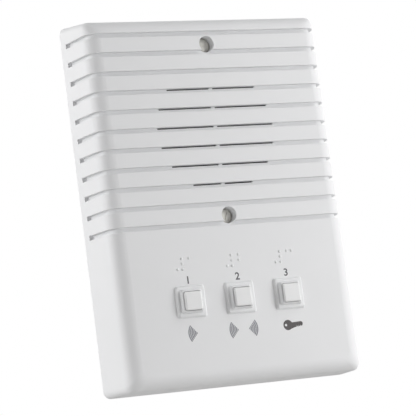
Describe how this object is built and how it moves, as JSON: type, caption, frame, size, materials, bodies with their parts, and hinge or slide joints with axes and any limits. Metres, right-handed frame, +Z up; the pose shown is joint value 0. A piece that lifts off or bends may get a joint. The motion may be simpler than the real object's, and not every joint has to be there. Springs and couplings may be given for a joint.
{
  "type": "indoor intercom unit",
  "caption": "Wall-mounted indoor intercom unit: drafted white cover with a grooved speaker grille above sprung square push buttons, held by long box screws.",
  "frame": {"origin": "on the wall plane, midway between the two mounting screws", "axes": "+X to the right as one faces the unit, +Y into the wall, +Z up; the buttons face -Y"},
  "size_m": [0.129, 0.0386, 0.1781],
  "materials": {
    "cover_white": "fine satin moulding grain",
    "cap_white": "smooth satin",
    "plated_steel": "zinc plated",
    "black_cloth": "woven",
    "grey_board": "matt",
    "basket_steel": "satin black",
    "black_rubber": "matt",
    "black_paper": "pressed pulp",
    "brown_paper": "kraft",
    "copper_wire": "lacquered copper",
    "amber_cloth": "stiffened weave",
    "zinc_steel": "zinc plated",
    "ferrite": "ground ferrite",
    "brown_laminate": "paper laminate",
    "tinned_brass": "tin plated",
    "green_laminate": "solder resist",
    "terminal_green": "moulded nylon",
    "nylon_white": "moulded nylon",
    "plunger_nylon": "moulded nylon",
    "spring_steel": "drawn wire",
    "switch_black": "moulded nylon",
    "lead_red": "soft insulation",
    "lead_black": "soft insulation",
    "capacitor_sleeve": "shrunk sleeve",
    "resistor_lacquer": "lacquer",
    "chip_black": "moulded epoxy"
  },
  "bodies": {
    "unit": {"front_cover": "cover_white", "mounting_screws": "plated_steel", "speaker_cloth": "black_cloth", "speaker_gasket": "grey_board", "speaker_basket": "basket_steel", "speaker_surround": "black_rubber", "speaker_cone": "black_paper", "speaker_dust_cap": "black_paper", "coil_former": "brown_paper", "coil_winding": "copper_wire", "speaker_spider": "amber_cloth", "speaker_top_plate": "zinc_steel", "speaker_magnet": "ferrite", "speaker_yoke": "zinc_steel", "speaker_tag_strip": "brown_laminate", "speaker_tags": "tinned_brass", "speaker_clamps": "zinc_steel", "clamp_screws": "plated_steel", "circuit_board": "green_laminate", "board_screws": "plated_steel", "switch_pins": "tinned_brass", "terminal_block": "terminal_green", "terminal_screws": "plated_steel", "lead_header": "nylon_white", "header_pins": "tinned_brass", "lead_plug": "nylon_white", "speaker_lead_a": "lead_red", "speaker_lead_b": "lead_black", "capacitors": "capacitor_sleeve", "resistors": "resistor_lacquer", "amplifier_chip": "chip_black", "chip_legs": "tinned_brass", "return_spring_left": "spring_steel", "switch_housing_left": "switch_black", "return_spring_centre": "spring_steel", "switch_housing_centre": "switch_black", "return_spring_right": "spring_steel", "switch_housing_right": "switch_black"},
    "button_left": {"button_cap_left": "cap_white", "plunger_left": "plunger_nylon"},
    "button_centre": {"button_cap_centre": "cap_white", "plunger_centre": "plunger_nylon"},
    "button_right": {"button_cap_right": "cap_white", "plunger_right": "plunger_nylon"}
  },
  "joints": [
    {"name": "push_left", "type": "slide", "parent": "unit", "child": "button_left", "axis": [0, 1, 0], "range_m": [0, 0.0015], "stiffness_N_per_m": 800, "springref_m": -0.001, "deforming": ["return_spring_left"]},
    {"name": "push_centre", "type": "slide", "parent": "unit", "child": "button_centre", "axis": [0, 1, 0], "range_m": [0, 0.0015], "stiffness_N_per_m": 800, "springref_m": -0.001, "deforming": ["return_spring_centre"]},
    {"name": "push_right", "type": "slide", "parent": "unit", "child": "button_right", "axis": [0, 1, 0], "range_m": [0, 0.0015], "stiffness_N_per_m": 800, "springref_m": -0.001, "deforming": ["return_spring_right"]}
  ]
}
